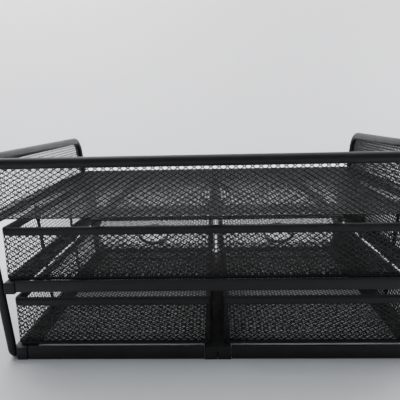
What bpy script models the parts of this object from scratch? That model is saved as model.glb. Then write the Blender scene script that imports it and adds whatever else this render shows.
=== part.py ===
"""Three-tier mesh desk organizer: an open tray on top, one full-width sliding tray, two half-width drawers.

The front faces -Y, +Z is up, and the origin is on the table under the middle of the whole.
Left and right are as seen from the front, so left is -X.
"""

import math

import bmesh
import bpy
from mathutils import Vector

MM = 0.001

# Overall size
WIDTH = 356 * MM
DEPTH = 266 * MM
HEIGHT = 153 * MM
CLEARANCE = 0.3 * MM  # between pieces that touch

# Sheet and straps
MESH_THICKNESS = 1.2 * MM
STRAP_WIDTH = 8.0 * MM
STRAP_THICKNESS = 1.5 * MM

# Side frames: one closed loop of round tube each, leaning outward as it rises
TUBE_RADIUS = 3.2 * MM
FRAME_LEAN = 0.09  # sideways travel for each unit of height
FRAME_INSET = 5.3 * MM  # from the plane of the top tray's side wall in to the tube's centre line
FRAME_CORNER_RADIUS = 5.0 * MM
FRAME_REAR_INSET = 6.5 * MM  # from the rear of the whole to the rear leg's centre line
FRAME_FRONT_INSET = 11.5 * MM
POST_RADIUS = 1.5 * MM
POSTS_PER_SIDE = 2

# Top tray
RIM_RADIUS = 4.0 * MM
RIM_FRONT_BEND = 14.0 * MM  # or less, where the tray's wall is lower
RIM_END_STRAIGHT = 4.0 * MM  # the least straight run below that bend
RIM_REAR_BEND = 8.0 * MM
TRAY_FLOOR_BOTTOM = 109.1 * MM
FRONT_EDGE_HEIGHT = 4.3 * MM
FRONT_EDGE_DEPTH = 6.0 * MM
TRAY_STRAP_OFFSET = 84.0 * MM

# Runners and cross rails
SIDE_RUNNER_WIDTH = 8.4 * MM
BOTTOM_RUNNER_HEIGHT = 9.8 * MM
MIDDLE_RUNNER_TOP = 61.5 * MM
MIDDLE_RUNNER_HEIGHT = 9.0 * MM
CENTRE_RUNNER_WIDTH = 19.8 * MM
CENTRE_SLOT_WIDTH = 0.8 * MM
CENTRE_SLOT_HEIGHT = 6.0 * MM
CENTRE_RUNNER_SETBACK = 21.9 * MM  # from the front legs' centre line to its front end
RAIL_THICKNESS = 3.0 * MM
RAIL_INSET = 4.0 * MM  # from the rear of the whole to the rear rails' outer face
MIDDLE_RAIL_DEPTH = 7.3 * MM  # from the middle runners' top down to the rails' lower edge
MIDDLE_RAIL_RISE = 1.1 * MM  # of the rear one above the middle runners' top
MIDDLE_RAIL_DROP = 0.3 * MM  # of the front one below it, where the tray slides over
BOTTOM_RAIL_LIFT = 0.3 * MM
BOTTOM_RAIL_RISE = 0.5 * MM  # above the bottom runners' top
TIE_BAR_WIDTH = 3.0 * MM
TIE_BAR_THICKNESS = 1.2 * MM

# Sliding tray and drawers
SLIDE_GAP = 0.3 * MM  # between a runner and the tray that rides on it
BOX_REAR_INSET = 8.0 * MM  # from the rear of the whole to the boxes' rear faces
RIM_BAND_WIDTH = 4.4 * MM
RIM_BAND_HEIGHT = 6.2 * MM
RIM_CORNER_RADIUS = 6.0 * MM
BASE_BAND_WIDTH = 4.0 * MM
BASE_BAND_HEIGHT = 1.8 * MM
BASE_INSET = 0.4 * MM  # from the rim's outer face to the base band's
SIDE_PLAY = 1.2 * MM  # between the middle tray's base and the leaning legs, at its height
DRAWER_SIDE_PLAY = 0.6 * MM
DRAWER_INNER_FACE = 3.9 * MM  # from the middle of the whole to each drawer's inner rim face
MIDDLE_BOX_HEADROOM = 7.2 * MM  # from the middle tray's rim to the top tray's floor
DRAWER_HEADROOM = 5.0 * MM  # from a drawer's rim to the middle runners' underside

# Front panels, which cover the legs
PANEL_THICKNESS = 4.0 * MM
PANEL_BAND = 5.5 * MM
PANEL_OVERHANG = 5.2 * MM  # beyond the frame's centre line at the table
PANEL_CORNER_RADIUS = 3.0 * MM
PANEL_LEG_GAP = 0.5 * MM
PANEL_MIDDLE_GAP = 3.0 * MM  # from the middle of the whole to each drawer panel's inner edge
DRAWER_PANEL_BOTTOM = 0.6 * MM
DRAWER_PANEL_RISE = 2.1 * MM  # above the drawer's rim
MIDDLE_PANEL_DROP = 9.8 * MM  # below the middle tray's base band
MIDDLE_PANEL_RISE = 2.0 * MM
GRIP_WIDTH = 40.0 * MM
GRIP_MARGIN = 5.7 * MM  # between the drawer's panel band and the ring
GRIP_RING = 3.0 * MM
GRIP_DEPTH = 5.4 * MM

TUBE_SIDES = 12
BEND_STEPS = 6

# Places worked out from the sizes above
REAR = DEPTH / 2
FRONT = -DEPTH / 2
LEG_REAR_Y = REAR - FRAME_REAR_INSET
LEG_FRONT_Y = FRONT + FRAME_FRONT_INSET
FRAME_TOP_Z = TRAY_FLOOR_BOTTOM - CLEARANCE - TUBE_RADIUS
RIM_Z = HEIGHT - RIM_RADIUS
RIM_HALF_WIDTH = WIDTH / 2 - RIM_RADIUS
RIM_REAR_Y = REAR - RIM_RADIUS
TRAY_FLOOR_TOP = TRAY_FLOOR_BOTTOM + MESH_THICKNESS
RAIL_REAR_Y = REAR - RAIL_INSET - RAIL_THICKNESS / 2
BOX_REAR = REAR - BOX_REAR_INSET
PANEL_BACK = LEG_FRONT_Y - TUBE_RADIUS - PANEL_LEG_GAP
PANEL_Y = PANEL_BACK - PANEL_THICKNESS / 2
MIDDLE_RUNNER_BOTTOM = MIDDLE_RUNNER_TOP - MIDDLE_RUNNER_HEIGHT
MIDDLE_BOX_BOTTOM = MIDDLE_RUNNER_TOP + SLIDE_GAP
MIDDLE_BOX_HEIGHT = TRAY_FLOOR_BOTTOM - MIDDLE_BOX_HEADROOM - MIDDLE_BOX_BOTTOM
DRAWER_BOX_BOTTOM = BOTTOM_RUNNER_HEIGHT + SLIDE_GAP
DRAWER_BOX_HEIGHT = MIDDLE_RUNNER_BOTTOM - DRAWER_HEADROOM - DRAWER_BOX_BOTTOM
DRAWER_PANEL_TOP = DRAWER_BOX_BOTTOM + DRAWER_BOX_HEIGHT + DRAWER_PANEL_RISE
GRIP_HEIGHT = DRAWER_PANEL_TOP - DRAWER_PANEL_BOTTOM - 2 * (PANEL_BAND + GRIP_MARGIN)
RIM_END_Z = TRAY_FLOOR_TOP + CLEARANCE
FRONT_BEND = min(RIM_FRONT_BEND, RIM_Z - RIM_END_Z - RIM_END_STRAIGHT)


def tray_wall_x(height):
    """The top tray's side walls lean as the frames do, and end under the rim."""
    return RIM_HALF_WIDTH - FRAME_LEAN * (RIM_Z - height)


def frame_x(height):
    """Distance of a side frame's centre line from the middle, at this height."""
    return tray_wall_x(height) - FRAME_INSET


def frame_inner_x(height):
    return frame_x(height) - TUBE_RADIUS


# The runner's outer face meets the frame where the frame is nearest
BOTTOM_RUNNER_OUTER = frame_inner_x(TUBE_RADIUS) - CLEARANCE
MIDDLE_RUNNER_OUTER = frame_inner_x(MIDDLE_RUNNER_BOTTOM) - CLEARANCE
MIDDLE_BASE_OUTER = frame_inner_x(MIDDLE_BOX_BOTTOM) - SIDE_PLAY
DRAWER_BASE_OUTER = frame_inner_x(DRAWER_BOX_BOTTOM) - DRAWER_SIDE_PLAY
PANEL_HALF_WIDTH = frame_x(0) + PANEL_OVERHANG


def clear_scene():
    for obj in list(bpy.data.objects):
        bpy.data.objects.remove(obj, do_unlink=True)


def finish_material(name, colour, roughness, metallic):
    material = bpy.data.materials.new(name)
    material.use_nodes = True
    shader = material.node_tree.nodes["Principled BSDF"]
    shader.inputs["Base Color"].default_value = (*colour, 1.0)
    shader.inputs["Roughness"].default_value = roughness
    shader.inputs["Metallic"].default_value = metallic
    return material


def place(obj, material, parent):
    bpy.context.scene.collection.objects.link(obj)
    obj.data.materials.append(material)
    if parent is not None:
        obj.parent = parent
        obj.matrix_parent_inverse = parent.matrix_world.inverted()
    return obj


def object_from_bmesh(name, shape, material, parent=None, smooth=False):
    bmesh.ops.recalc_face_normals(shape, faces=shape.faces)
    mesh = bpy.data.meshes.new(name)
    shape.to_mesh(mesh)
    shape.free()
    if smooth:
        mesh.shade_smooth()
        mesh.set_sharp_from_angle(angle=math.radians(40))
    return place(bpy.data.objects.new(name, mesh), material, parent)


def block(name, x, y, z, material, parent=None, bevel=0.0):
    """A box between pairs of faces, with its long edges eased where bevel is given."""
    shape = bmesh.new()
    bmesh.ops.create_cube(shape, size=1.0)
    size = Vector((x[1] - x[0], y[1] - y[0], z[1] - z[0]))
    middle = Vector((x[1] + x[0], y[1] + y[0], z[1] + z[0])) / 2
    bmesh.ops.scale(shape, vec=size, verts=shape.verts)
    bmesh.ops.translate(shape, vec=middle, verts=shape.verts)
    obj = object_from_bmesh(name, shape, material, parent)
    if bevel:
        easing = obj.modifiers.new("eased edges", "BEVEL")
        easing.width = bevel
        easing.segments = 1
    return obj


def leaning_wall(name, outline, sign):
    """An upright side sheet of the top tray, from its outline in Y and Z."""
    half = MESH_THICKNESS / 2
    shape = bmesh.new()
    rings = []
    for offset in (-half, half):
        rings.append([shape.verts.new((sign * tray_wall_x(z) + offset, y, z)) for y, z in outline])
    join_rings(shape, rings)
    return object_from_bmesh(name, shape, mesh_sheet)


def join_rings(shape, rings, closed=False):
    """Quads between neighbouring rings of points, capped at the ends unless the row of rings is closed."""
    count = len(rings[0])
    pairs = list(zip(rings, rings[1:]))
    if closed:
        pairs.append((rings[-1], rings[0]))
    for first, second in pairs:
        for i in range(count):
            j = (i + 1) % count
            shape.faces.new((first[i], first[j], second[j], second[i]))
    if not closed:
        shape.faces.new(rings[0][::-1])
        shape.faces.new(rings[-1])


def arc(centre, radius, start, end, steps=BEND_STEPS):
    """Points in a plane round centre, from one angle to another in degrees."""
    found = []
    for i in range(steps + 1):
        angle = math.radians(start + (end - start) * i / steps)
        found.append((centre[0] + radius * math.cos(angle), centre[1] + radius * math.sin(angle)))
    return found


def rounded_rectangle(x, y, radius):
    """A closed outline, anticlockwise, with round corners."""
    return (
        arc((x[1] - radius, y[0] + radius), radius, -90, 0)
        + arc((x[1] - radius, y[1] - radius), radius, 0, 90)
        + arc((x[0] + radius, y[1] - radius), radius, 90, 180)
        + arc((x[0] + radius, y[0] + radius), radius, 180, 270)
    )


def round_tube(name, points, radius, material, closed=False, parent=None):
    """A round tube along points, with its rings square to the run and mitred between runs."""
    points = [Vector(point) for point in points]
    count = len(points)
    shape = bmesh.new()
    rings = []
    flat = plane_of(points)
    for i, point in enumerate(points):
        before = points[i - 1] if i or closed else None
        after = points[(i + 1) % count] if i < count - 1 or closed else None
        arriving = (point - before).normalized() if before is not None else None
        leaving = (after - point).normalized() if after is not None else None
        along = (arriving or leaving) + (leaving or arriving)
        along.normalize()
        widen = 1.0 / max(0.5, along.dot(leaving or arriving))
        side = along.cross(flat).normalized()
        ring = []
        for k in range(TUBE_SIDES):
            angle = 2 * math.pi * k / TUBE_SIDES
            offset = side * (radius * widen * math.cos(angle)) + flat * (radius * math.sin(angle))
            ring.append(shape.verts.new(point + offset))
        rings.append(ring)
    join_rings(shape, rings, closed)
    return object_from_bmesh(name, shape, material, parent, smooth=True)


def plane_of(points):
    """The normal of the plane that the points lie in, or any square direction for a straight run."""
    first = points[1] - points[0]
    for point in points[2:]:
        normal = first.cross(point - points[0])
        if normal.length > 1e-3 * first.length * (point - points[0]).length:
            return normal.normalized()
    return first.orthogonal().normalized()


def outline_offsets(path, half_width, closed):
    """For each point of a flat path, the points half_width to its left and right, mitred."""
    count = len(path)
    found = []
    for i in range(count):
        here = Vector(path[i])
        before = Vector(path[i - 1]) if i or closed else None
        after = Vector(path[(i + 1) % count]) if i < count - 1 or closed else None
        arriving = (here - before).normalized() if before is not None else (after - here).normalized()
        leaving = (after - here).normalized() if after is not None else arriving
        along = (arriving + leaving).normalized()
        normal = Vector((-along.y, along.x))
        reach = half_width / max(0.3, normal.dot(Vector((-arriving.y, arriving.x))))
        found.append((here + normal * reach, here - normal * reach))
    return found


def band(name, path, half_width, low, high, material, parent, closed=False, upright=False, bevel=0.0):
    """A flat-sided band along a flat path: lying down it rises from low to high, upright it runs from y low to high."""
    shape = bmesh.new()
    rings = []
    for left, right in outline_offsets(path, half_width, closed):
        section = [(left, low), (right, low), (right, high), (left, high)]
        if upright:
            places = [(p.x, away, p.y) for p, away in section]
        else:
            places = [(p.x, p.y, away) for p, away in section]
        rings.append([shape.verts.new(point) for point in places])
    join_rings(shape, rings, closed)
    obj = object_from_bmesh(name, shape, material, parent, smooth=True)
    if bevel:
        easing = obj.modifiers.new("eased edges", "BEVEL")
        easing.width = bevel
        easing.segments = 1
        easing.limit_method = "ANGLE"
        easing.angle_limit = math.radians(50)
    return obj


def u_path(x, rear, front, radius):
    """From the front on one side, round the rear, to the front on the other, with round rear corners."""
    return (
        [(x[1], front)]
        + arc((x[1] - radius, rear - radius), radius, 0, 90)
        + arc((x[0] + radius, rear - radius), radius, 90, 180)
        + [(x[0], front)]
    )


def oval(centre, width, height, steps=32):
    found = []
    for i in range(steps):
        angle = 2 * math.pi * i / steps
        found.append((centre[0] + width / 2 * math.cos(angle), centre[1] + height / 2 * math.sin(angle)))
    return found


def oval_cutter(name, centre, width, height, y):
    """A closed oval prism, kept out of the build, which cuts the finger hole."""
    shape = bmesh.new()
    outline = oval(centre, width, height)
    rings = [[shape.verts.new((x, depth, z)) for x, z in outline] for depth in y]
    join_rings(shape, rings)
    cutter = object_from_bmesh(name, shape, coating)
    cutter.hide_render = True
    cutter.display_type = "WIRE"
    return cutter


def side_frame(side, sign):
    """The closed loop of tube: rear leg, foot run on the table, front leg and top run under the tray."""
    outline = rounded_rectangle((LEG_FRONT_Y, LEG_REAR_Y), (TUBE_RADIUS, FRAME_TOP_Z), FRAME_CORNER_RADIUS)
    points = [(sign * frame_x(z), y, z) for y, z in outline]
    round_tube(f"side_frame_{side}", points, TUBE_RADIUS, coating, closed=True)


def side_posts(side, sign):
    """Thin rods between the foot run and the top run, in line with the frame's inner face."""
    inward = TUBE_RADIUS - POST_RADIUS
    low = 2 * TUBE_RADIUS + CLEARANCE
    high = FRAME_TOP_Z - TUBE_RADIUS - CLEARANCE
    names = ("rear", "front")
    for i, name in enumerate(names[:POSTS_PER_SIDE]):
        y = LEG_REAR_Y + (LEG_FRONT_Y - LEG_REAR_Y) * (i + 1) / (POSTS_PER_SIDE + 1)
        ends = [(sign * (frame_x(z) - inward), y, z) for z in (low, high)]
        round_tube(f"post_{name}_{side}", ends, POST_RADIUS, coating)


def runner(name, outer, low, high, sign, material):
    x = sorted((sign * outer, sign * (outer - SIDE_RUNNER_WIDTH)))
    y = (LEG_FRONT_Y - TUBE_RADIUS, LEG_REAR_Y + TUBE_RADIUS - CLEARANCE)
    block(name, x, y, (low, high), material, bevel=0.8 * MM)


def centre_runner():
    """A double channel on the table that carries both drawers' inner edges, with a slot up its middle."""
    half = CENTRE_RUNNER_WIDTH / 2
    slot = CENTRE_SLOT_WIDTH / 2
    outline = [
        (-half, 0),
        (-slot, 0),
        (-slot, CENTRE_SLOT_HEIGHT),
        (slot, CENTRE_SLOT_HEIGHT),
        (slot, 0),
        (half, 0),
        (half, BOTTOM_RUNNER_HEIGHT),
        (-half, BOTTOM_RUNNER_HEIGHT),
    ]
    shape = bmesh.new()
    front = LEG_FRONT_Y + CENTRE_RUNNER_SETBACK
    rear = LEG_REAR_Y + TUBE_RADIUS - CLEARANCE
    rings = [[shape.verts.new((x, y, z)) for x, z in outline] for y in (front, rear)]
    join_rings(shape, rings)
    obj = object_from_bmesh("runner_centre", shape, coating)
    easing = obj.modifiers.new("eased edges", "BEVEL")
    easing.width = 0.3 * MM
    easing.segments = 1
    return front


def stand():
    """Everything under the top tray that stays still."""
    for side, sign in (("left", -1), ("right", 1)):
        side_frame(side, sign)
        side_posts(side, sign)
        runner(f"runner_middle_{side}", MIDDLE_RUNNER_OUTER, MIDDLE_RUNNER_BOTTOM, MIDDLE_RUNNER_TOP, sign, coating)
        runner(f"runner_bottom_{side}", BOTTOM_RUNNER_OUTER, 0.0, BOTTOM_RUNNER_HEIGHT, sign, coating)
    centre_front = centre_runner()

    reach = MIDDLE_RUNNER_OUTER - SIDE_RUNNER_WIDTH - CLEARANCE
    low = MIDDLE_RUNNER_TOP - MIDDLE_RAIL_DEPTH
    for name, y, rise in (
        ("rear", RAIL_REAR_Y, MIDDLE_RAIL_RISE),
        ("front", LEG_FRONT_Y + RAIL_THICKNESS / 2, -MIDDLE_RAIL_DROP),
    ):
        across = (y - RAIL_THICKNESS / 2, y + RAIL_THICKNESS / 2)
        z = (low, MIDDLE_RUNNER_TOP + rise)
        block(f"rail_middle_{name}", (-reach, reach), across, z, coating, bevel=0.5 * MM)

    outer = BOTTOM_RUNNER_OUTER - SIDE_RUNNER_WIDTH - CLEARANCE
    inner = CENTRE_RUNNER_WIDTH / 2 + CLEARANCE
    across = (RAIL_REAR_Y - RAIL_THICKNESS / 2, RAIL_REAR_Y + RAIL_THICKNESS / 2)
    for side, sign in (("left", -1), ("right", 1)):
        x = sorted((sign * inner, sign * outer))
        z = (BOTTOM_RAIL_LIFT, BOTTOM_RUNNER_HEIGHT + BOTTOM_RAIL_RISE)
        block(f"rail_bottom_rear_{side}", x, across, z, coating, bevel=0.5 * MM)
    y = (centre_front - CLEARANCE - TIE_BAR_WIDTH, centre_front - CLEARANCE)
    block("tie_bar_bottom", (-outer, outer), y, (CLEARANCE, CLEARANCE + TIE_BAR_THICKNESS), coating)


def rim_bend(radius):
    """The bend at the front of the top tray's rim, or a line that runs inside it."""
    centre = (FRONT + RIM_RADIUS + FRONT_BEND, RIM_Z - FRONT_BEND)
    return arc(centre, radius, 90, 180, 8)


def tray_rim():
    """The round rim: round the rear, along each side, and bent down at the front to the floor's edge."""
    side_start = RIM_REAR_Y - RIM_REAR_BEND - RIM_RADIUS
    across = (-RIM_HALF_WIDTH, RIM_HALF_WIDTH)
    rear = [(x, y, RIM_Z) for x, y in u_path(across, RIM_REAR_Y, side_start, RIM_REAR_BEND)]
    round_tube("tray_rim_rear", rear, RIM_RADIUS, coating)
    outline = [(side_start - CLEARANCE, RIM_Z)] + rim_bend(FRONT_BEND) + [(FRONT + RIM_RADIUS, RIM_END_Z)]
    for side, sign in (("left", -1), ("right", 1)):
        points = [(sign * tray_wall_x(z), y, z) for y, z in outline]
        round_tube(f"tray_rim_{side}", points, RIM_RADIUS, coating)


def top_tray():
    tray_rim()
    floor_half = tray_wall_x(TRAY_FLOOR_BOTTOM) + MESH_THICKNESS / 2
    floor_front = FRONT + FRONT_EDGE_DEPTH + CLEARANCE
    floor_y = (floor_front, RIM_REAR_Y + MESH_THICKNESS / 2)
    floor_z = (TRAY_FLOOR_BOTTOM, TRAY_FLOOR_TOP)
    block("tray_floor_mesh", (-floor_half, floor_half), floor_y, floor_z, mesh_sheet)
    low = TRAY_FLOOR_TOP + CLEARANCE
    high = RIM_Z - RIM_RADIUS - CLEARANCE
    wall_rear = RIM_REAR_Y - MESH_THICKNESS / 2 - CLEARANCE
    wall_front = FRONT + 2 * RIM_RADIUS + CLEARANCE
    corner = rim_bend(FRONT_BEND - RIM_RADIUS - CLEARANCE)
    outline = [(wall_rear, low), (wall_rear, high)] + corner + [(wall_front, low)]
    for side, sign in (("left", -1), ("right", 1)):
        leaning_wall(f"tray_side_mesh_{side}", outline, sign)
    rear_half = tray_wall_x(low) + MESH_THICKNESS / 2
    rear_y = (RIM_REAR_Y - MESH_THICKNESS / 2, RIM_REAR_Y + MESH_THICKNESS / 2)
    block("tray_rear_mesh", (-rear_half, rear_half), rear_y, (low, high), mesh_sheet)
    edge_z = (TRAY_FLOOR_TOP - FRONT_EDGE_HEIGHT, TRAY_FLOOR_TOP)
    edge_y = (FRONT, FRONT + FRONT_EDGE_DEPTH)
    block("tray_front_edge", (-floor_half, floor_half), edge_y, edge_z, coating, bevel=1.0 * MM)
    strap_z = (TRAY_FLOOR_BOTTOM - CLEARANCE - STRAP_THICKNESS, TRAY_FLOOR_BOTTOM - CLEARANCE)
    strap_y = (floor_front, floor_y[1])
    places = {"left": -TRAY_STRAP_OFFSET, "centre": 0.0, "right": TRAY_STRAP_OFFSET}
    for name, x in places.items():
        across = (x - STRAP_WIDTH / 2, x + STRAP_WIDTH / 2)
        block(f"tray_strap_{name}", across, strap_y, strap_z, coating, bevel=0.4 * MM)


def grip_panel(name, x, z, parent):
    """A front panel: a framed sheet with an oval finger hole and the ring that lines it."""
    middle = ((x[0] + x[1]) / 2, (z[0] + z[1]) / 2)
    inset = PANEL_BAND / 2
    path = rounded_rectangle((x[0] + inset, x[1] - inset), (z[0] + inset, z[1] - inset), PANEL_CORNER_RADIUS)
    y = (PANEL_BACK - PANEL_THICKNESS, PANEL_BACK)
    band(f"{name}_front_frame", path, inset, *y, coating, parent, closed=True, upright=True, bevel=0.8 * MM)
    away = PANEL_BAND + CLEARANCE
    sheet_x = (x[0] + away, x[1] - away)
    sheet_z = (z[0] + away, z[1] - away)
    sheet_y = (PANEL_Y - MESH_THICKNESS / 2, PANEL_Y + MESH_THICKNESS / 2)
    sheet = block(f"{name}_front_mesh", sheet_x, sheet_y, sheet_z, mesh_sheet, parent)
    hole = (GRIP_WIDTH + 2 * CLEARANCE, GRIP_HEIGHT + 2 * CLEARANCE)
    through = (PANEL_Y - PANEL_THICKNESS, PANEL_Y + PANEL_THICKNESS)
    cutting = sheet.modifiers.new("finger hole", "BOOLEAN")
    cutting.operation = "DIFFERENCE"
    cutting.object = oval_cutter(f"{name}_hole_cutter", middle, *hole, through)
    path = oval(middle, GRIP_WIDTH - GRIP_RING, GRIP_HEIGHT - GRIP_RING)
    ring_y = (PANEL_BACK - GRIP_DEPTH, PANEL_BACK)
    band(f"{name}_grip", path, GRIP_RING / 2, *ring_y, coating, parent, closed=True, upright=True, bevel=0.9 * MM)


def sliding_box(name, outer, inner, bottom, height, panel_x, panel_z):
    """An open box on a slide. outer and inner are its base band's outer faces along X, either way round."""
    body = bpy.data.objects.new(f"{name}_slide", None)
    bpy.context.scene.collection.objects.link(body)
    body.location = ((outer + inner) / 2, BOX_REAR, bottom)
    bpy.context.view_layer.update()
    base_x = sorted((outer, inner))
    rim_x = (base_x[0] - BASE_INSET, base_x[1] + BASE_INSET)
    front = PANEL_BACK + CLEARANCE
    top = bottom + height
    half = RIM_BAND_WIDTH / 2
    path = u_path((rim_x[0] + half, rim_x[1] - half), BOX_REAR - half, front, RIM_CORNER_RADIUS - half)
    band(f"{name}_rim", path, half, top - RIM_BAND_HEIGHT, top, coating, body, bevel=1.2 * MM)
    half = BASE_BAND_WIDTH / 2
    base_rear = BOX_REAR - BASE_INSET
    path = u_path((base_x[0] + half, base_x[1] - half), base_rear - half, front, RIM_CORNER_RADIUS - half)
    base_top = bottom + BASE_BAND_HEIGHT
    band(f"{name}_base", path, half, bottom, base_top, coating, body, bevel=0.5 * MM)

    sheet = MESH_THICKNESS / 2
    low = base_top + CLEARANCE
    high = top - RIM_BAND_HEIGHT - CLEARANCE
    wall_x = (rim_x[0] + RIM_BAND_WIDTH / 2, rim_x[1] - RIM_BAND_WIDTH / 2)
    wall_rear = BOX_REAR - RIM_BAND_WIDTH / 2
    rear_y = (wall_rear - sheet, wall_rear + sheet)
    rear_x = (wall_x[0] - sheet, wall_x[1] + sheet)
    block(f"{name}_rear_mesh", rear_x, rear_y, (low, high), mesh_sheet, body)
    for side, x in (("left", wall_x[0]), ("right", wall_x[1])):
        wall_y = (front, wall_rear - sheet - CLEARANCE)
        block(f"{name}_{side}_mesh", (x - sheet, x + sheet), wall_y, (low, high), mesh_sheet, body)

    inside = (wall_x[0] + sheet + CLEARANCE, wall_x[1] - sheet - CLEARANCE)
    floor_y = (front, wall_rear - sheet - CLEARANCE)
    block(f"{name}_floor_mesh", inside, floor_y, (low, low + MESH_THICKNESS), mesh_sheet, body)
    grip_panel(name, panel_x, panel_z, body)


def sliding_boxes():
    top = MIDDLE_BOX_BOTTOM + MIDDLE_BOX_HEIGHT
    panel_z = (MIDDLE_BOX_BOTTOM - MIDDLE_PANEL_DROP, top + MIDDLE_PANEL_RISE)
    panel_x = (-PANEL_HALF_WIDTH, PANEL_HALF_WIDTH)
    base = MIDDLE_BASE_OUTER
    sliding_box("middle_tray", base, -base, MIDDLE_BOX_BOTTOM, MIDDLE_BOX_HEIGHT, panel_x, panel_z)
    panel_z = (DRAWER_PANEL_BOTTOM, DRAWER_PANEL_TOP)
    for side, sign in (("left", -1), ("right", 1)):
        panel_x = sorted((sign * PANEL_MIDDLE_GAP, sign * PANEL_HALF_WIDTH))
        outer = sign * DRAWER_BASE_OUTER
        inner = sign * (DRAWER_INNER_FACE + BASE_INSET)
        name = f"drawer_{side}"
        sliding_box(name, outer, inner, DRAWER_BOX_BOTTOM, DRAWER_BOX_HEIGHT, panel_x, panel_z)


clear_scene()
coating = finish_material("black powder coat", (0.018, 0.018, 0.02), 0.42, 0.0)
mesh_sheet = finish_material("coated expanded metal", (0.014, 0.014, 0.015), 0.5, 0.0)
stand()
top_tray()
sliding_boxes()
bpy.context.view_layer.update()
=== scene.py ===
"""Looks of the three-tier mesh desk organizer: real diamond mesh, round tube, rolled bands and powder coat.

The front faces -Y and +Z is up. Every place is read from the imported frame.
"""

import math

import bpy
from mathutils import Matrix, Vector


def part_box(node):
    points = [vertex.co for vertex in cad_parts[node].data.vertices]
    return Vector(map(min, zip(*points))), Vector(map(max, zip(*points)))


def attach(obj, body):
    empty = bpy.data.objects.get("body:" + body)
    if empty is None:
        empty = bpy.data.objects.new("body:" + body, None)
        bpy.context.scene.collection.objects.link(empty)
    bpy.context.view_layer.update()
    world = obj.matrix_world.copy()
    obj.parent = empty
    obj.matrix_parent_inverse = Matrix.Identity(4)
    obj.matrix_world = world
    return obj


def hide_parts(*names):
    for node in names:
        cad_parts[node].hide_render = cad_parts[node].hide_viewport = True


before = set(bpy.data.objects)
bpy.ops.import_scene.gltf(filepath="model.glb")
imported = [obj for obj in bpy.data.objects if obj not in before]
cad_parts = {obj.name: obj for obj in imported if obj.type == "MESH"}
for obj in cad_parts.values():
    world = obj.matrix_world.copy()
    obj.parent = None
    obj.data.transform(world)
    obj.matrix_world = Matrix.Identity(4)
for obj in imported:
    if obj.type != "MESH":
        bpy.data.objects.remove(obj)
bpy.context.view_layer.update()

MM = 0.001

# Expanded metal: diamonds lie with their long way across, and upright on the side walls
MESH_LONG = 5.7 * MM
MESH_SHORT = 3.6 * MM
STRAND_WIDTH = 0.84 * MM
STRAND_THICKNESS = 0.42 * MM
STRAND_TWIST = 0.13 * MM  # how far a strand's two edges stand to either side of the sheet
BOND_FLAT = 0.3 * MM  # half the blunt end of a diamond

# Tubes, bands and sheets
RIM_RADIUS = 4.0 * MM
RIM_REAR_BEND = 8.0 * MM
RIM_FRONT_BEND = 14.0 * MM
FRAME_RADIUS = 3.2 * MM
FRAME_BEND = 5.0 * MM
POST_RADIUS = 1.5 * MM
WELD_REACH = 1.1 * MM
RIM_BAND = (4.4 * MM, 6.2 * MM)
BASE_BAND = (4.0 * MM, 1.8 * MM)
PANEL_BAND = (5.5 * MM, 4.0 * MM)
GRIP_BAND = (3.0 * MM, 5.4 * MM)
BOX_CORNER = 6.0 * MM
PANEL_CORNER = 3.0 * MM
PLATE = 1.2 * MM  # the solid plate that a net replaces
TUCK = 1.5 * MM  # how far a net runs on under the rim or band that grips it
FOOT_TUCK = 0.9 * MM  # how far the top tray's walls run down to meet its floor

# How finely shapes are built
TUBE_SIDES = 28
ROD_SIDES = 18
COLLAR_ROWS = 6
RING_STEPS = 56
EASE_STEPS = 3  # on the eased edge of a bar
LEAST_CORNER = 0.15  # of a bar's easing, where its end is drawn in furthest
SHARPEST_MITRE = 0.4  # the least cosine that a mitre is stretched by
STRAIGHT = 1e-5  # less turn than this is no bend

SLIDING = ("middle_tray", "drawer_left", "drawer_right")
SIDES = (("left", -1), ("right", 1))

# Sockets of a mix node for colours
MIX_FIRST = 6
MIX_SECOND = 7
MIX_RESULT = 2


# ---------------------------------------------------------------- finishes

COAT_GLOSS = 0.25
BLUE_CAST = 0.0005
DUST_COLOUR = (0.34, 0.33, 0.32, 1.0)
THICK_COAT_ROUGHNESS = 0.09  # added where the coat is thickest
DUST_ROUGHNESS = 0.4  # added under full dust
RUBBED_SMOOTHNESS = 0.2  # taken off where an edge is rubbed
GRAIN_STRENGTH = 0.5


def new_group(name, inputs, outputs):
    """An empty shader group with its named inputs and outputs."""
    group = bpy.data.node_groups.new(name, "ShaderNodeTree")
    for label, value in inputs.items():
        socket = group.interface.new_socket(name=label, in_out="INPUT", socket_type="NodeSocketFloat")
        socket.default_value = value
    for label in outputs:
        group.interface.new_socket(name=label, in_out="OUTPUT", socket_type="NodeSocketFloat")
    return group, group.nodes.new("NodeGroupInput"), group.nodes.new("NodeGroupOutput")


def add_node(tree, kind, settings=None, **inputs):
    """A node with its settings and input values; an underscore in an input's name stands for a space."""
    node = tree.nodes.new(kind)
    for label, value in (settings or {}).items():
        setattr(node, label, value)
    for label, value in inputs.items():
        node.inputs[label.replace("_", " ")].default_value = value
    return node


def noise(tree, scale, detail=2.0, roughness=0.5):
    """Noise laid over the object, in waves to the metre; scale is a number or a socket."""
    place = add_node(tree, "ShaderNodeTexCoord")
    texture = add_node(tree, "ShaderNodeTexNoise", Detail=detail, Roughness=roughness)
    tree.links.new(place.outputs["Object"], texture.inputs["Vector"])
    if isinstance(scale, bpy.types.NodeSocket):
        tree.links.new(scale, texture.inputs["Scale"])
    else:
        texture.inputs["Scale"].default_value = scale
    return texture.outputs["Fac"]


def calculate(tree, operation, first, second, clamp=False):
    node = add_node(tree, "ShaderNodeMath", {"operation": operation, "use_clamp": clamp})
    for socket, value in zip(node.inputs, (first, second)):
        if isinstance(value, bpy.types.NodeSocket):
            tree.links.new(value, socket)
        else:
            socket.default_value = value
    return node.outputs[0]


def remap(tree, value, low, high):
    """Nothing at low and below, one at high and above."""
    node = add_node(tree, "ShaderNodeMapRange", {"clamp": True}, From_Min=low, From_Max=high)
    tree.links.new(value, node.inputs["Value"])
    return node.outputs["Result"]


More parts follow.
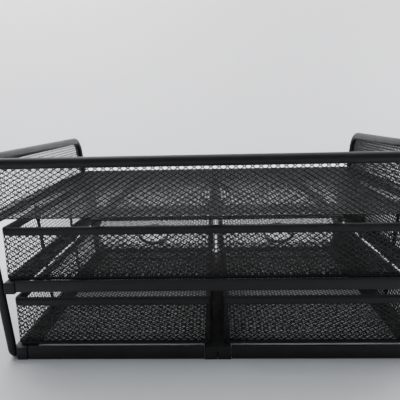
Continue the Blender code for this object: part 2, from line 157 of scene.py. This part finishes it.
def coat_grain_group():
    """The fine orange peel of baked powder, with slow waves of thicker and thinner coat."""
    group, given, result = new_group("coat grain", {"Grain": 1400.0, "Waves": 60.0}, ("Height", "Mottle"))
    fine = noise(group, given.outputs["Grain"], detail=3.0)
    waves = noise(group, given.outputs["Waves"], detail=2.0)
    peel = calculate(group, "MULTIPLY", fine, 0.7)
    swell = calculate(group, "MULTIPLY", waves, 0.3)
    group.links.new(calculate(group, "ADD", peel, swell), result.inputs["Height"])
    group.links.new(remap(group, waves, 0.3, 0.7), result.inputs["Mottle"])
    return group


def settled_dust_group():
    """Dust that lies on what faces up, patchy and with a few specks."""
    group, given, result = new_group("settled dust", {"Amount": 0.3, "Patches": 25.0}, ("Dust",))
    shape = add_node(group, "ShaderNodeNewGeometry")
    axes = add_node(group, "ShaderNodeSeparateXYZ")
    group.links.new(shape.outputs["Normal"], axes.inputs[0])
    upward = remap(group, axes.outputs["Z"], 0.25, 0.95)
    patches = remap(group, noise(group, given.outputs["Patches"], detail=4.0, roughness=0.65), 0.35, 0.75)
    specks = remap(group, noise(group, 2600.0, detail=1.0), 0.62, 0.72)
    cover = calculate(group, "ADD", patches, specks, clamp=True)
    dust = calculate(group, "MULTIPLY", upward, cover)
    dust = calculate(group, "MULTIPLY", dust, given.outputs["Amount"], clamp=True)
    group.links.new(dust, result.inputs["Dust"])
    return group


def rubbed_edge_group():
    """A faint polish where hands and sliding parts rub the outer edges."""
    group, given, result = new_group("rubbed edge", {"Rub": 0.5, "Breaks": 180.0}, ("Polish",))
    shape = add_node(group, "ShaderNodeNewGeometry")
    edge = remap(group, shape.outputs["Pointiness"], 0.52, 0.62)
    breaks = remap(group, noise(group, given.outputs["Breaks"], detail=3.0), 0.4, 0.6)
    worn = calculate(group, "MULTIPLY", edge, breaks)
    worn = calculate(group, "MULTIPLY", worn, given.outputs["Rub"], clamp=True)
    group.links.new(worn, result.inputs["Polish"])
    return group


def use_group(tree, group, **values):
    node = tree.nodes.new("ShaderNodeGroup")
    node.node_tree = group
    for label, value in values.items():
        node.inputs[label].default_value = value
    return node


def powder_coat(name, thin, thick, roughness, grain, depth, dust, rub):
    """Black powder coat: its tone and gloss wander a little, dust settles on it and edges polish.

    thin and thick are the tones of its thinner and thicker coat, a trace bluer than grey.
    """
    material = bpy.data.materials.new(name)
    material.use_nodes = True
    tree = material.node_tree
    shader = tree.nodes["Principled BSDF"]
    shader.inputs["Metallic"].default_value = 0.0
    shader.inputs["Specular IOR Level"].default_value = COAT_GLOSS
    surface = use_group(tree, coat_grain, Grain=grain)
    lying = use_group(tree, settled_dust, Amount=dust)
    edges = use_group(tree, rubbed_edge, Rub=rub)

    coat = add_node(tree, "ShaderNodeMix", {"data_type": "RGBA"})
    coat.inputs[MIX_FIRST].default_value = (thin, thin, thin + BLUE_CAST, 1.0)
    coat.inputs[MIX_SECOND].default_value = (thick, thick, thick + BLUE_CAST, 1.0)
    tree.links.new(surface.outputs["Mottle"], coat.inputs["Factor"])
    dusty = add_node(tree, "ShaderNodeMix", {"data_type": "RGBA"})
    dusty.inputs[MIX_SECOND].default_value = DUST_COLOUR
    tree.links.new(coat.outputs[MIX_RESULT], dusty.inputs[MIX_FIRST])
    tree.links.new(lying.outputs["Dust"], dusty.inputs["Factor"])
    tree.links.new(dusty.outputs[MIX_RESULT], shader.inputs["Base Color"])

    wander = calculate(tree, "MULTIPLY", surface.outputs["Mottle"], THICK_COAT_ROUGHNESS)
    rough = calculate(tree, "ADD", wander, roughness)
    dull = calculate(tree, "MULTIPLY", lying.outputs["Dust"], DUST_ROUGHNESS)
    rough = calculate(tree, "ADD", rough, dull)
    polish = calculate(tree, "MULTIPLY", edges.outputs["Polish"], RUBBED_SMOOTHNESS)
    tree.links.new(calculate(tree, "SUBTRACT", rough, polish, clamp=True), shader.inputs["Roughness"])

    bump = add_node(tree, "ShaderNodeBump", Strength=GRAIN_STRENGTH, Distance=depth)
    tree.links.new(surface.outputs["Height"], bump.inputs["Height"])
    tree.links.new(bump.outputs["Normal"], shader.inputs["Normal"])
    return material


coat_grain = coat_grain_group()
settled_dust = settled_dust_group()
rubbed_edge = rubbed_edge_group()
tube_coat = powder_coat(
    "tube coat", thin=0.009, thick=0.014, roughness=0.44, grain=1300.0, depth=0.10 * MM, dust=0.05, rub=0.5
)
band_coat = powder_coat(
    "band coat", thin=0.010, thick=0.015, roughness=0.46, grain=1500.0, depth=0.09 * MM, dust=0.07, rub=0.7
)
mesh_coat = powder_coat(
    "mesh coat", thin=0.008, thick=0.013, roughness=0.42, grain=2200.0, depth=0.05 * MM, dust=0.06, rub=0.3
)


# ---------------------------------------------------------------- mesh work

def make_piece(name, shape, material, body, nodes, sharp=None):
    """A new piece in place of CAD nodes, riding on their body; edges keener than sharp degrees stay crisp."""
    points, faces = shape
    mesh = bpy.data.meshes.new(name)
    mesh.from_pydata([tuple(point) for point in points], [], faces)
    mesh.shade_smooth()
    if sharp is not None:
        mesh.set_sharp_from_angle(angle=math.radians(sharp))
    mesh.materials.append(material)
    piece = bpy.data.objects.new(name, mesh)
    bpy.context.scene.collection.objects.link(piece)
    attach(piece, body)
    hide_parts(*nodes)
    return piece


def arc(centre, radius, start, end, steps=10):
    found = []
    for i in range(steps + 1):
        angle = math.radians(start + (end - start) * i / steps)
        found.append((centre[0] + radius * math.cos(angle), centre[1] + radius * math.sin(angle)))
    return found


def rounded_outline(low, high, radius, steps=6):
    """A closed outline, anticlockwise, with round corners."""
    return (
        arc((high[0] - radius, low[1] + radius), radius, -90, 0, steps)
        + arc((high[0] - radius, high[1] - radius), radius, 0, 90, steps)
        + arc((low[0] + radius, high[1] - radius), radius, 90, 180, steps)
        + arc((low[0] + radius, low[1] + radius), radius, 180, 270, steps)
    )


def band_section(size, radius, steps=4):
    return rounded_outline((-size[0] / 2, -size[1] / 2), (size[0] / 2, size[1] / 2), radius, steps)


def round_section(radius, sides=TUBE_SIDES):
    found = []
    for k in range(sides):
        angle = 2 * math.pi * k / sides
        found.append((radius * math.cos(angle), radius * math.sin(angle)))
    return found


def u_path(left, right, rear, front, radius):
    """From the front on the right, round the rear, to the front on the left."""
    return (
        [(right, front)]
        + arc((right - radius, rear - radius), radius, 0, 90)
        + arc((left + radius, rear - radius), radius, 90, 180)
        + [(left, front)]
    )


def sweep(path, section, closed=False, level=None):
    """Points and faces of a section carried along a path, mitred at its turns.

    level is a direction that the section's second axis keeps to. Without it the section turns as little
    as it can.
    """
    path = [Vector(point) for point in path]
    count = len(path)
    points, rings = [], []
    upright = level
    for i, here in enumerate(path):
        before = path[i - 1] if i or closed else None
        after = path[(i + 1) % count] if i < count - 1 or closed else None
        arriving = (here - before).normalized() if before is not None else (after - here).normalized()
        leaving = (after - here).normalized() if after is not None else arriving
        along = (arriving + leaving).normalized()
        if level is None:
            if upright is None:
                upright = along.orthogonal()
            upright = (upright - along * upright.dot(along)).normalized()
        side = along.cross(upright).normalized()
        bend = leaving - arriving
        ring = []
        for across, up in section:
            offset = side * across + upright * up
            if bend.length > STRAIGHT:
                outward = bend.normalized()
                offset += outward * offset.dot(outward) * (1 / max(SHARPEST_MITRE, along.dot(leaving)) - 1)
            ring.append(len(points))
            points.append(here + offset)
        rings.append(ring)
    faces = []
    pairs = list(zip(rings, rings[1:]))
    if closed:
        pairs.append((rings[-1], rings[0]))
    size = len(section)
    for first, second in pairs:
        for k in range(size):
            n = (k + 1) % size
            faces.append((first[k], second[k], second[n], first[n]))
    if not closed:
        faces.append(tuple(rings[0]))
        faces.append(tuple(rings[-1][::-1]))
    return points, faces


def join_shapes(*shapes):
    points, faces = [], []
    for more_points, more_faces in shapes:
        start = len(points)
        points.extend(more_points)
        faces.extend(tuple(index + start for index in face) for face in more_faces)
    return points, faces


def eased_bar(low, high, radius, along):
    """A bar between two corners with all its edges eased; along is the axis it runs along."""
    low, high = Vector(low), Vector(high)
    middle = (low + high) / 2
    size = high - low
    axes = [axis for axis in range(3) if axis != along]
    points, faces, loops = [], [], []
    for ends in (-1, 1):
        steps = range(EASE_STEPS + 1)
        for step in steps if ends < 0 else reversed(steps):
            angle = math.radians(90 * step / EASE_STEPS)
            draw_in = radius * (1 - math.sin(angle))
            position = middle[along] + ends * (size[along] / 2 - radius * (1 - math.cos(angle)))
            half = (size[axes[0]] / 2 - draw_in, size[axes[1]] / 2 - draw_in)
            corner = max(radius - draw_in, radius * LEAST_CORNER)
            outline = rounded_outline((-half[0], -half[1]), half, corner, EASE_STEPS)
            loop = []
            for across, up in outline:
                point = middle.copy()
                point[along] = position
                point[axes[0]] += across
                point[axes[1]] += up
                loop.append(len(points))
                points.append(point)
            loops.append(loop)
    for first, second in zip(loops, loops[1:]):
        for k in range(len(first)):
            n = (k + 1) % len(first)
            faces.append((first[k], second[k], second[n], first[n]))
    faces.append(tuple(loops[0]))
    faces.append(tuple(loops[-1][::-1]))
    if along == 1:
        faces = [face[::-1] for face in faces]
    return points, [face[::-1] for face in faces]


def weld_collar(foot, toward, inner, reach):
    """The fillet of weld round a rod where it meets a tube."""
    toward = (Vector(toward) - Vector(foot)).normalized()
    side = toward.orthogonal().normalized()
    up = toward.cross(side)
    sunk = 0.35 * reach  # into the tube
    snug = 0.98 * inner  # just inside the rod
    rows = []
    for step in range(COLLAR_ROWS):
        share = step / (COLLAR_ROWS - 1)
        rows.append((reach * share - sunk, snug + reach * (1 - share) ** 2))
    points, faces = [], []
    sides = ROD_SIDES
    for height, radius in rows:
        for k in range(sides):
            angle = 2 * math.pi * k / sides
            lumpy = radius * (1 + 0.05 * math.sin(3 * angle + 1.3) + 0.03 * math.sin(7 * angle))
            outward = side * math.cos(angle) + up * math.sin(angle)
            points.append(Vector(foot) + toward * height + outward * lumpy)
    for row in range(len(rows) - 1):
        for k in range(sides):
            n = (k + 1) % sides
            a, b = row * sides, (row + 1) * sides
            faces.append((a + k, a + n, b + n, b + k))
    faces.append(tuple(range(sides))[::-1])
    last = (len(rows) - 1) * sides
    faces.append(tuple(range(last, last + sides)))
    return points, faces


# ------------------------------------------------------------ expanded metal

def hole_points(x, y, half_long, half_short, missing):
    """The points of a diamond's hole beside each of its bonds.

    missing is the bond, if any, that the sheet's edge cuts off.
    """
    reach = half_long * half_short / math.hypot(half_long, half_short)
    inner = 1 - STRAND_WIDTH / 2 / reach
    hem = STRAND_WIDTH / 2
    lift = {"low": hem, "high": -hem}.get(missing, 0.0)
    shift = {"left": hem, "right": -hem}.get(missing, 0.0)
    tip = half_long * (inner - abs(lift) / half_short)
    top = half_short * (inner - abs(shift) / half_long)
    if shift:
        high = [(x + shift, y + top, -STRAND_TWIST)]
        low = [(x + shift, y - top, STRAND_TWIST)]
    else:
        high = [(x + BOND_FLAT, y + top, -STRAND_TWIST), (x - BOND_FLAT, y + top, -STRAND_TWIST)]
        low = [(x - BOND_FLAT, y - top, STRAND_TWIST), (x + BOND_FLAT, y - top, STRAND_TWIST)]
    right, left = [(x + tip, y + lift, 0.0)], [(x - tip, y + lift, 0.0)]
    found = {"right": right, "high": high, "left": left, "low": low}
    found.pop(missing, None)
    return found


def diamond_sheet(width, height, keep=None, pull=None):
    """Flat points and faces of a sheet of diamonds; each point's third value is its strand's twist.

    keep says whether a diamond with this centre is in the sheet, and pull moves a point to a cut edge.
    """
    across, up = max(2, round(width / MESH_LONG)), max(2, round(height / MESH_SHORT))
    half_long, half_short = width / across / 2, height / up / 2
    bonds, points, faces = {}, [], []

    def add_point(x, y, twist):
        points.append((x, y, twist))
        return len(points) - 1

    def bond(k, m):
        if (k, m) not in bonds:
            bonds[k, m] = add_point(k * half_long, m * half_short, 0.0)
        return bonds[k, m]

    steps = {"right": (1, 0), "high": (0, 1), "left": (-1, 0), "low": (0, -1)}
    for k in range(2 * across + 1):
        for m in range(k % 2, 2 * up + 1, 2):
            x, y = k * half_long, m * half_short
            if keep is not None and not keep(x, y):
                continue
            ends = {"left": k == 0, "right": k == 2 * across, "low": m == 0, "high": m == 2 * up}
            missing = [side for side, gone in ends.items() if gone]
            around = [(side, bond(k + a, m + b)) for side, (a, b) in steps.items() if not ends[side]]
            if len(missing) == 2:
                face = [bond(k, m)] + [index for _, index in around]
                if missing == ["left", "high"]:
                    face.reverse()
                faces.append(tuple(face))
                continue
            hole = hole_points(x, y, half_long, half_short, missing[0] if missing else None)
            ring = [(outer, [add_point(*point) for point in hole[side]]) for side, outer in around]
            for i, (outer, inside) in enumerate(ring):
                if len(inside) == 2:
                    faces.append((outer, inside[1], inside[0]))
                next_outer, next_inside = ring[(i + 1) % len(ring)]
                faces.append((outer, next_outer, next_inside[0], inside[-1]))
    if pull is not None:
        points = [pull(*point) for point in points]
    return points, faces


def thick_sheet(flat, place, tilt):
    """Both faces of a flat sheet and a wall along each open edge, set in place by place(x, y, depth).

    tilt scales the twist of the strands, and its sign is the way they turn out of the sheet.
    """
    points, faces = flat
    count = len(points)
    solid = [place(x, y, tilt * twist + STRAND_THICKNESS / 2) for x, y, twist in points]
    solid += [place(x, y, tilt * twist - STRAND_THICKNESS / 2) for x, y, twist in points]
    edges = {(start, face[(i + 1) % len(face)]) for face in faces for i, start in enumerate(face)}
    open_edges = sorted(edge for edge in edges if edge[::-1] not in edges)
    back = [tuple(index + count for index in face[::-1]) for face in faces]
    walls = [(end, start, start + count, end + count) for start, end in open_edges]
    return solid, list(faces) + back + walls


def mesh_piece(name, flat, place, body, node, tilt):
    solid = thick_sheet(flat, place, tilt)
    piece = make_piece(name, solid, mesh_coat, body, [node], sharp=55)
    lay_out_map(piece.data, flat)


def lay_out_map(mesh, flat):
    """A surface map with the sheet's front and back side by side.

    The walls of each hole lie in the hole's own space, as a thin line along its edge.
    """
    sheet_width, sheet_height = 0.48, 0.96
    side_margin, foot_margin = 0.01, 0.02
    back_start = 0.5
    wall_line = 0.2 * MM
    points, _ = flat
    count = len(points)
    width = max(point[0] for point in points)
    height = max(point[1] for point in points)
    layer = mesh.uv_layers.new(name="OFBake")
    places = []
    for polygon in mesh.polygons:
        corners = list(polygon.vertices)
        behind = [index >= count for index in corners]
        if any(behind) and not all(behind):
            start, end = points[corners[1]], points[corners[0]]
            away = Vector((end[1] - start[1], start[0] - end[0]))
            away = away.normalized() * wall_line if away.length else away
        for index, back in zip(corners, behind):
            x, y, _ = points[index % count]
            left = side_margin
            if all(behind):
                left += back_start
            elif back:
                x, y = x + away.x, y + away.y
            places.append((left + sheet_width * x / width, foot_margin + sheet_height * y / height))
    layer.uv.foreach_set("vector", [number for place in places for number in place])


def oval_cut(width, height, hole):
    """Which diamonds a panel with an oval finger hole keeps, and how points move out to the hole's edge."""
    middle = (width / 2, height / 2)

    def reach(x, y):
        return math.hypot((x - middle[0]) / hole[0], (y - middle[1]) / hole[1])

    def keep(x, y):
        return reach(x, y) > 1.0

    def pull(x, y, twist):
        away = reach(x, y)
        if away < 1.0:
            x = middle[0] + (x - middle[0]) / away
            y = middle[1] + (y - middle[1]) / away
        return x, y, twist

    return keep, pull


# ------------------------------------------------------------ the stand

def box_size(node):
    low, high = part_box(node)
    return low, high, high - low


def leaning_line(node, radius, sign):
    """The x of a leaning piece's centre line as a function of height, from its box."""
    low, high, _ = box_size(node)
    inner, outer = (low.x + radius, high.x - radius)
    if sign < 0:
        inner, outer = outer, inner
    bottom, top = low.z + radius, high.z - radius
    return lambda z: inner + (outer - inner) * (z - bottom) / (top - bottom)


def side_frames():
    for side, sign in SIDES:
        node = f"side_frame_{side}"
        low, high, _ = box_size(node)
        x_at = leaning_line(node, FRAME_RADIUS, sign)
        r = FRAME_RADIUS
        outline = rounded_outline((low.y + r, low.z + r), (high.y - r, high.z - r), FRAME_BEND, 14)
        path = [(x_at(z), y, z) for y, z in outline]
        tube = sweep(path, round_section(r), closed=True)
        make_piece(f"side_tube_{side}", tube, tube_coat, "stand", [node])
        for place in ("rear", "front"):
            post = f"post_{place}_{side}"
            post_low, post_high, _ = box_size(post)
            y = (post_low.y + post_high.y) / 2
            ends = [(post_low.x + POST_RADIUS, post_low.z), (post_high.x - POST_RADIUS, post_high.z)]
            if sign < 0:
                ends = [(post_high.x - POST_RADIUS, post_low.z), (post_low.x + POST_RADIUS, post_high.z)]
            foot, top = [(x, y, z) for x, z in ends]
            rod = sweep([foot, top], round_section(POST_RADIUS, ROD_SIDES))
            shape = join_shapes(
                rod,
                weld_collar(foot, top, POST_RADIUS, WELD_REACH),
                weld_collar(top, foot, POST_RADIUS, WELD_REACH),
            )
            make_piece(f"rod_{place}_{side}", shape, tube_coat, "stand", [post], sharp=60)


def bar_piece(node, name, radius, along, body="stand"):
    low, high, _ = box_size(node)
    make_piece(name, eased_bar(low, high, radius, along), band_coat, body, [node], sharp=50)


def rails():
    """The runners, cross rails and tie bar; the centre runner keeps its own shape and takes the coat."""
    for side, _ in SIDES:
        bar_piece(f"runner_middle_{side}", f"middle_runner_bar_{side}", 1.0 * MM, 1)
        bar_piece(f"runner_bottom_{side}", f"bottom_runner_bar_{side}", 1.0 * MM, 1)
        bar_piece(f"rail_bottom_rear_{side}", f"bottom_rail_bar_{side}", 0.7 * MM, 0)
    for place in ("rear", "front"):
        bar_piece(f"rail_middle_{place}", f"middle_rail_bar_{place}", 0.7 * MM, 0)
    bar_piece("tie_bar_bottom", "tie_bar_strip", 0.4 * MM, 0)
    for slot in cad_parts["runner_centre"].material_slots:
        slot.material = band_coat


def top_tray():
    low, high, _ = box_size("tray_rim_rear")
    r = RIM_RADIUS
    rim_z = high.z - r
    side_low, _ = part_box("tray_rim_left")
    front, bottom = side_low.y + r, side_low.z
    x_at = leaning_line("tray_rim_right", r, 1)
    lean = (x_at(rim_z) - x_at(bottom)) / (rim_z - bottom)
    half = high.x - r
    bend = arc((front + RIM_FRONT_BEND, rim_z - RIM_FRONT_BEND), RIM_FRONT_BEND, 180, 90, 14)
    side = [(half - lean * (rim_z - z), y, z) for y, z in [(front, bottom)] + bend]
    corner = arc((half - RIM_REAR_BEND, high.y - r - RIM_REAR_BEND), RIM_REAR_BEND, 0, 90, 12)
    right = side + [(x, y, rim_z) for x, y in corner]
    left = [(-x, y, z) for x, y, z in right[::-1]]
    rim = sweep(right + left, round_section(r))
    nodes = ["tray_rim_rear", "tray_rim_left", "tray_rim_right"]
    make_piece("tray_rim_tube", rim, tube_coat, "stand", nodes, sharp=60)
    bar_piece("tray_front_edge", "tray_front_bar", 1.5 * MM, 0)
    for place in ("left", "centre", "right"):
        bar_piece(f"tray_strap_{place}", f"tray_strip_{place}", 0.5 * MM, 1)


def flat_place(low, high, facing):
    """Puts a flat sheet between two corners; the side walls carry the diamonds upright."""
    middle = (low + high) / 2
    return {
        "floor": lambda x, y, away: (low.x + x, low.y + y, middle.z + away),
        "rear": lambda x, y, away: (low.x + x, middle.y - away, low.z + y),
        "side": lambda x, y, away: (middle.x - away, low.y + y, low.z + x),
    }[facing]


# For each way a sheet faces: the axes that its diamonds' long and short ways lie on, and its strands' twist
SHEET_AXES = {"floor": (0, 1), "rear": (0, 2), "side": (2, 1)}
STRAND_TILT = {"floor": 1.0, "rear": -1.0, "side": 1.5}


def flat_mesh(node, name, facing, body, tuck_low=(0, 0, 0), tuck_high=(0, 0, 0), cut=None):
    """A net in a node's place, run on under its neighbours by the tucks; cut makes its hole."""
    low, high, _ = box_size(node)
    low = low - Vector(tuck_low)
    high = high + Vector(tuck_high)
    across, up = SHEET_AXES[facing]
    size = high - low
    keep, pull = cut(size[across], size[up]) if cut else (None, None)
    flat = diamond_sheet(size[across], size[up], keep, pull)
    mesh_piece(name, flat, flat_place(low, high, facing), body, node, STRAND_TILT[facing])


def tray_meshes():
    flat_mesh("tray_floor_mesh", "tray_floor_net", "floor", "stand", (0, TUCK, 0))
    flat_mesh("tray_rear_mesh", "tray_rear_net", "rear", "stand", (0, 0, FOOT_TUCK), (0, 0, 2 * TUCK))
    for side, sign in SIDES:
        node = f"tray_side_mesh_{side}"
        low, high, size = box_size(node)
        lean = (size.x - PLATE) / size.z
        foot = low.x + PLATE / 2 if sign > 0 else high.x - PLATE / 2
        front = low.y - TUCK
        tall, deep = size.z + FOOT_TUCK + 2 * TUCK, size.y + TUCK
        radius = RIM_FRONT_BEND - RIM_RADIUS + TUCK

        def past_bend(x, y):
            """How far a point is from the middle of the front bend, where it is in the bend's quarter."""
            if x < tall - radius or y > radius:
                return 0.0
            return math.hypot(x - tall + radius, y - radius)

        def keep(x, y):
            return past_bend(x, y) < radius

        def pull(x, y, twist):
            away = past_bend(x, y)
            if away > radius:
                x = tall - radius + (x - tall + radius) * radius / away
                y = radius + (y - radius) * radius / away
            return x, y, twist

        def place(x, y, away):
            rise = x - FOOT_TUCK
            return foot + sign * lean * rise - away, front + y, low.z + rise

        flat = diamond_sheet(tall, deep, keep, pull)
        mesh_piece(f"tray_side_net_{side}", flat, place, "stand", node, STRAND_TILT["side"])


# ------------------------------------------------------------ sliding boxes

def band_round(node, name, size, radius, body):
    """A rim or base band round the sides and rear of a box."""
    low, high, _ = box_size(node)
    half = size[0] / 2
    level = (low.z + high.z) / 2
    path = u_path(low.x + half, high.x - half, high.y - half, low.y, BOX_CORNER - half)
    shape = sweep([(x, y, level) for x, y in path], band_section(size, radius), level=Vector((0, 0, 1)))
    make_piece(name, shape, band_coat, body, [node], sharp=50)


def front_panel(box):
    low, high, _ = box_size(f"{box}_front_frame")
    inset = PANEL_BAND[0] / 2
    depth = (low.y + high.y) / 2
    corners = (low.x + inset, low.z + inset), (high.x - inset, high.z - inset)
    outline = rounded_outline(*corners, PANEL_CORNER, 8)
    path = [(x, depth, z) for x, z in outline]
    shape = sweep(path, band_section(PANEL_BAND, 1.3 * MM), closed=True, level=Vector((0, 1, 0)))
    make_piece(f"{box}_front_band", shape, band_coat, box, [f"{box}_front_frame"], sharp=50)

    low, high, size = box_size(f"{box}_grip")
    middle, half = (low + high) / 2, size / 2
    hole = (half.x - GRIP_BAND[0] / 2, half.z - GRIP_BAND[0] / 2)
    ring = []
    for i in range(RING_STEPS):
        angle = 2 * math.pi * i / RING_STEPS
        ring.append((middle.x + hole[0] * math.cos(angle), middle.y, middle.z + hole[1] * math.sin(angle)))
    shape = sweep(ring, band_section(GRIP_BAND, 1.2 * MM), closed=True, level=Vector((0, 1, 0)))
    make_piece(f"{box}_finger_ring", shape, band_coat, box, [f"{box}_grip"], sharp=50)

    def cut(width, height):
        return oval_cut(width, height, hole)

    tuck = (TUCK, 0, TUCK)
    flat_mesh(f"{box}_front_mesh", f"{box}_front_net", "rear", box, tuck, tuck, cut)


def sliding_box(box):
    band_round(f"{box}_rim", f"{box}_rim_band", RIM_BAND, 1.6 * MM, box)
    band_round(f"{box}_base", f"{box}_base_band", BASE_BAND, 0.7 * MM, box)
    flat_mesh(f"{box}_floor_mesh", f"{box}_floor_net", "floor", box)
    low_tuck, high_tuck = (0, 0, TUCK / 2), (0, 0, TUCK)
    flat_mesh(f"{box}_rear_mesh", f"{box}_rear_net", "rear", box, low_tuck, high_tuck)
    for side, _ in SIDES:
        flat_mesh(f"{box}_{side}_mesh", f"{box}_{side}_net", "side", box, low_tuck, high_tuck)
    front_panel(box)


# ------------------------------------------------------------ room

FLOOR_COLOUR = (0.76, 0.795, 0.81)
WALL_COLOUR = (0.80, 0.79, 0.81)
PAINT_ROUGHNESS = 0.9
PAINT_DARKEST = 0.97  # of the colour, where the paint is patchy
PAINT_PATCHES = 30.0


def stage_material(name, colour):
    material = bpy.data.materials.new(name)
    material.use_nodes = True
    tree = material.node_tree
    shader = tree.nodes["Principled BSDF"]
    shader.inputs["Roughness"].default_value = PAINT_ROUGHNESS
    tone = add_node(tree, "ShaderNodeMix", {"data_type": "RGBA"})
    tone.inputs[MIX_FIRST].default_value = (*(PAINT_DARKEST * value for value in colour), 1.0)
    tone.inputs[MIX_SECOND].default_value = (*colour, 1.0)
    tree.links.new(noise(tree, PAINT_PATCHES, detail=3.0), tone.inputs["Factor"])
    tree.links.new(tone.outputs[MIX_RESULT], shader.inputs["Base Color"])
    return material


def room():
    """A pale floor and a pale wall well behind the object's front."""
    reach, wall_y, top = 3.0, -1.5, 2.4
    floor = [(-reach, wall_y, 0), (reach, wall_y, 0), (reach, reach, 0), (-reach, reach, 0)]
    wall = [(-reach, wall_y, 0), (-reach, wall_y, top), (reach, wall_y, top), (reach, wall_y, 0)]
    for name, corners, colour in (("floor", floor, FLOOR_COLOUR), ("wall", wall, WALL_COLOUR)):
        mesh = bpy.data.meshes.new(name)
        mesh.from_pydata(corners, [], [(0, 1, 2, 3)])
        mesh.materials.append(stage_material(f"{name} paint", colour))
        obj = bpy.data.objects.new(name, mesh)
        bpy.context.scene.collection.objects.link(obj)


def area_light(name, place, target, size, power):
    light = bpy.data.lights.new(name, "AREA")
    light.shape = "RECTANGLE"
    light.size, light.size_y = size
    light.energy = power
    obj = bpy.data.objects.new(name, light)
    obj.location = place
    obj.rotation_euler = (Vector(target) - Vector(place)).to_track_quat("-Z", "Y").to_euler()
    obj.visible_camera = False
    bpy.context.scene.collection.objects.link(obj)


def lights():
    world = bpy.data.worlds.new("soft room")
    world.use_nodes = True
    sky = world.node_tree.nodes["Background"]
    sky.inputs["Color"].default_value = (0.80, 0.82, 0.86, 1.0)
    sky.inputs["Strength"].default_value = 0.40
    bpy.context.scene.world = world
    area_light("ceiling", place=(0.0, -0.5, 1.9), target=(0.0, -0.4, 0.0), size=(2.4, 1.6), power=38.0)
    area_light("window", place=(-1.3, -1.0, 0.75), target=(0.0, 0.0, 0.1), size=(0.9, 1.1), power=24.0)
    area_light("wall wash", place=(1.0, -0.7, 1.5), target=(0.9, -1.5, 0.5), size=(1.6, 0.4), power=42.0)


def camera():
    """Behind the organizer and a little above it, turned, tipped and rolled by a few degrees."""
    lens, sensor = 39.5, 36.0
    place = Vector((0.0002, 0.4273, 0.1809))
    down, turn, roll = math.radians(11.27), math.radians(2.02), math.radians(1.25)
    forward = Vector((math.sin(turn) * math.cos(down), -math.cos(turn) * math.cos(down), -math.sin(down)))
    right = forward.cross(Vector((0, 0, 1))).normalized()
    up = right.cross(forward)
    tilted_right = right * math.cos(roll) - up * math.sin(roll)
    tilted_up = up * math.cos(roll) + right * math.sin(roll)
    data = bpy.data.cameras.new("view from behind")
    data.lens, data.sensor_width = lens, sensor
    data.clip_start = 0.01
    obj = bpy.data.objects.new("view from behind", data)
    axes = Matrix((tilted_right, tilted_up, -forward)).transposed().to_4x4()
    obj.matrix_world = Matrix.Translation(place) @ axes
    bpy.context.scene.collection.objects.link(obj)
    bpy.context.scene.camera = obj


camera()
lights()
room()
side_frames()
rails()
top_tray()
tray_meshes()
for box in SLIDING:
    sliding_box(box)

bpy.context.view_layer.update()
